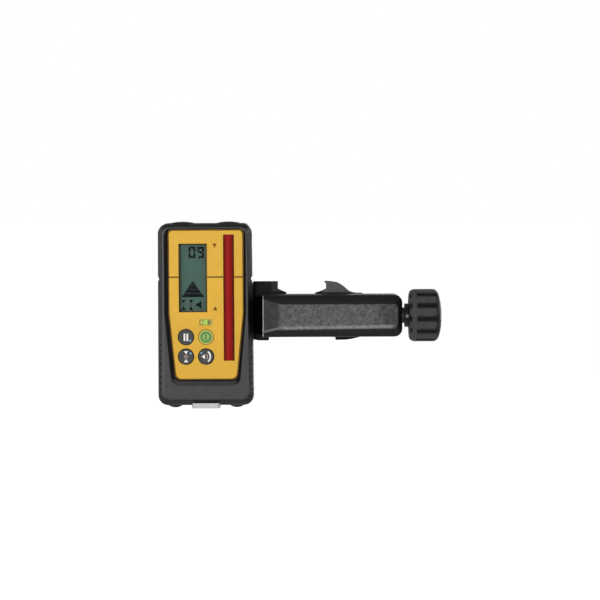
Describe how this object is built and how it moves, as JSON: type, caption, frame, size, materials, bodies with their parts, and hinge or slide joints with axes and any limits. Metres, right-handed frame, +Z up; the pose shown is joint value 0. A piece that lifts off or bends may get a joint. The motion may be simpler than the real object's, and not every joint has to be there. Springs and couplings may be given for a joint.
{
  "type": "laser receiver with rod clamp",
  "caption": "Hand-held laser level detector with a tall red sensing window, display and keys, held on a staff by a screw-driven rod clamp.",
  "frame": {"origin": "middle of the rod throat between the two jaw pads, level with the clamp screw", "axes": "+X from the receiver towards the clamp knob, +Y from the display to the back, +Z up along the rod"},
  "size_m": [0.2059, 0.0621, 0.1351],
  "materials": {
    "housing_grey": "fine moulded texture",
    "housing_dark": "fine moulded texture",
    "panel_yellow": "satin printed panel",
    "clear": "clear",
    "lcd": "grey-green display",
    "red_filter": "deep red tinted",
    "board_green": "solder mask",
    "black_plastic": "satin",
    "key_grey": "satin",
    "key_yellow": "satin",
    "light_green": "translucent",
    "rubber_black": "matt",
    "latch_grey": "satin",
    "clamp_black": "glass-filled, satin",
    "steel": "plated",
    "black_steel": "blacked",
    "brass": "turned",
    "cell_skin": "printed sleeve"
  },
  "bodies": {
    "receiver": {"front_housing": "housing_grey", "rear_housing": "housing_dark", "housing_seal": "rubber_black", "housing_screws": "steel", "face_panel": "panel_yellow", "display_window": "clear", "lcd_module": "lcd", "sensor_window": "red_filter", "sensor_board": "board_green", "photodiodes": "black_plastic", "main_board": "board_green", "key_switches": "black_plastic", "sounder": "black_plastic", "status_light": "light_green", "top_bumpers": "rubber_black", "bottom_feet": "rubber_black", "threaded_insert": "brass", "battery_tray": "black_plastic", "battery_contacts": "steel", "battery_springs": "steel", "battery_cells": "cell_skin", "door_hinge_pin": "steel", "clamp_frame": "clamp_black", "fixed_jaw_pad": "rubber_black", "clamp_arm": "clamp_black", "arm_screws": "black_steel", "inner_bush": "brass", "outer_bush": "brass"},
    "power_key": {"power_key": "key_yellow"},
    "hold_key": {"hold_key": "key_grey"},
    "precision_key": {"precision_key": "key_grey"},
    "sound_key": {"sound_key": "key_grey"},
    "battery_door": {"battery_door": "housing_dark", "door_latch": "latch_grey", "door_seal": "rubber_black"},
    "clamp_knob": {"clamp_knob": "clamp_black", "knob_collar": "black_steel", "collar_pin": "steel", "clamp_screw": "steel", "thrust_washer": "steel", "retaining_ring": "black_steel"},
    "moving_jaw": {"moving_jaw": "clamp_black", "jaw_nut": "brass", "moving_jaw_pad": "rubber_black"},
    "mount_washer": {"mount_washer": "black_plastic"},
    "mount_screw": {"mount_screw": "clamp_black"}
  },
  "joints": [
    {"name": "power_press", "type": "slide", "parent": "receiver", "child": "power_key", "axis": [0, 1, 0], "range_m": [0, 0.0008], "stiffness_N_per_m": 1500},
    {"name": "hold_press", "type": "slide", "parent": "receiver", "child": "hold_key", "axis": [0, 1, 0], "range_m": [0, 0.0008], "stiffness_N_per_m": 1500},
    {"name": "precision_press", "type": "slide", "parent": "receiver", "child": "precision_key", "axis": [0, 1, 0], "range_m": [0, 0.0008], "stiffness_N_per_m": 1500},
    {"name": "sound_press", "type": "slide", "parent": "receiver", "child": "sound_key", "axis": [0, 1, 0], "range_m": [0, 0.0008], "stiffness_N_per_m": 1500},
    {"name": "door_swing", "type": "hinge", "parent": "receiver", "child": "battery_door", "pos_m": [-0.07005, -0.0145, -0.0189], "axis": [1, 0, 0], "range_deg": [0, 90]},
    {"name": "knob_turn", "type": "hinge", "parent": "receiver", "child": "clamp_knob", "pos_m": [0, -0.029, 0], "axis": [1, 0, 0], "range_deg": [-1440, 1440]},
    {"name": "jaw_slide", "type": "slide", "parent": "receiver", "child": "moving_jaw", "axis": [1, 0, 0], "range_m": [-0.0201, 0.0201]},
    {"name": "mount_screw_advance", "type": "slide", "parent": "receiver", "child": "mount_washer", "axis": [0, 1, 0], "range_m": [0, 0.0064]},
    {"name": "mount_screw_turn", "type": "hinge", "parent": "mount_washer", "child": "mount_screw", "pos_m": [-0.07005, 0, 0.00275], "axis": [0, 1, 0], "range_deg": [0, 1800]}
  ],
  "couplings": [
    {"joint": "jaw_slide", "follows": "knob_turn", "m_per_rad": 0.00079577},
    {"joint": "mount_screw_advance", "follows": "mount_screw_turn", "m_per_rad": 0.00020213}
  ]
}
